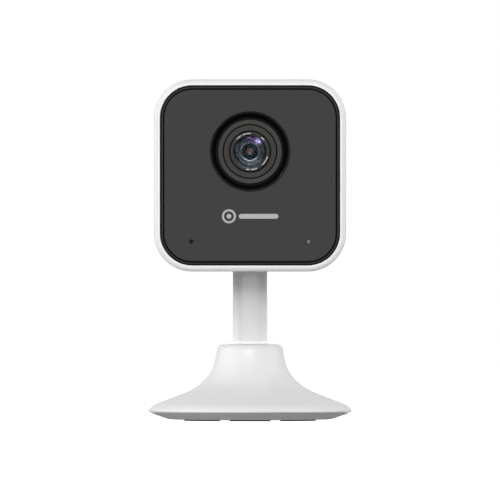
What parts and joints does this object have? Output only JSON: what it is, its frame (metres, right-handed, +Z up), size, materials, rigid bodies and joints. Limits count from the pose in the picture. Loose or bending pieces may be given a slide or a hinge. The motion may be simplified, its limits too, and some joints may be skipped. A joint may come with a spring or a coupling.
{
  "type": "security camera",
  "caption": "Indoor camera with a square tilting head, dark front panel and round lens, on a slim stem that swivels in a weighted trumpet-shaped foot",
  "frame": {"origin": "middle of the foot, on the surface it stands on", "axes": "+Z up along the stem, the camera looks along -Y, +X to the right seen from the front"},
  "size_m": [0.064, 0.064, 0.1071],
  "materials": {
    "white_plastic": "satin",
    "grey_plastic": "fine matt texture",
    "dark_panel": "smooth",
    "black_plastic": "satin",
    "dark_ring": "satin paint",
    "lens_glass": "coated",
    "filter_glass": "coated",
    "board": "solder resist",
    "chip": "moulded",
    "steel": "zinc plated",
    "aluminium": "die cast",
    "rubber": "matt",
    "diffuser": "clear",
    "copper": "laminated film",
    "nylon": "natural",
    "magnet_skin": "nickel plated"
  },
  "bodies": {
    "base": {"base_shell": "white_plastic", "base_bottom": "grey_plastic", "weight_plate": "steel", "magnet_ring": "magnet_skin", "foot_pad_front": "rubber", "foot_pad_rear": "rubber", "foot_pad_left": "rubber", "foot_pad_right": "rubber", "base_screw_1": "steel", "base_screw_2": "steel", "base_screw_3": "steel", "swivel_bush": "nylon"},
    "stem": {"stem": "white_plastic", "wave_spring": "steel", "retaining_disc": "steel", "swivel_screw": "steel"},
    "head": {"front_housing": "white_plastic", "rear_housing": "white_plastic", "front_panel": "dark_panel", "panel_adhesive": "black_plastic", "lens_surround": "black_plastic", "lens_barrel": "black_plastic", "aperture_disc": "black_plastic", "lens_holder": "black_plastic", "speaker": "black_plastic", "lens_trim_ring": "dark_ring", "lens_retainer": "dark_ring", "front_lens": "lens_glass", "middle_lens": "lens_glass", "rear_lens": "lens_glass", "main_board": "board", "led_board": "board", "port_board": "board", "filter_motor": "chip", "image_sensor": "chip", "processor": "chip", "light_sensor": "chip", "reset_switch": "chip", "antenna_cable": "chip", "microphone": "steel", "usb_socket": "steel", "card_socket": "steel", "housing_screw_1": "steel", "housing_screw_2": "steel", "board_screw_1": "steel", "board_screw_2": "steel", "hinge_pin": "steel", "hinge_nut": "steel", "heat_spreader": "aluminium", "ir_led_left": "diffuser", "ir_led_right": "diffuser", "status_led": "diffuser", "status_light_pipe": "diffuser", "wifi_antenna": "copper", "friction_washer_left": "nylon", "friction_washer_right": "nylon"},
    "filter_carriage": {"filter_carriage": "black_plastic", "ir_cut_glass": "filter_glass", "clear_glass": "lens_glass"},
    "reset_button": {"reset_button": "black_plastic"}
  },
  "joints": [
    {"name": "base_swivel", "type": "hinge", "parent": "base", "child": "stem", "pos_m": [0, 0, 0.024], "axis": [0, 0, 1], "continuous": true},
    {"name": "head_tilt", "type": "hinge", "parent": "stem", "child": "head", "pos_m": [0, 0, 0.054], "axis": [1, 0, 0], "range_deg": [-90, 30]},
    {"name": "filter_slide", "type": "slide", "parent": "head", "child": "filter_carriage", "axis": [-1, 0, 0], "range_m": [0, 0.0076]},
    {"name": "reset_press", "type": "slide", "parent": "head", "child": "reset_button", "axis": [0, -1, 0], "range_m": [0, 0.0005], "stiffness_N_per_m": 800, "springref_m": -0.0005}
  ]
}
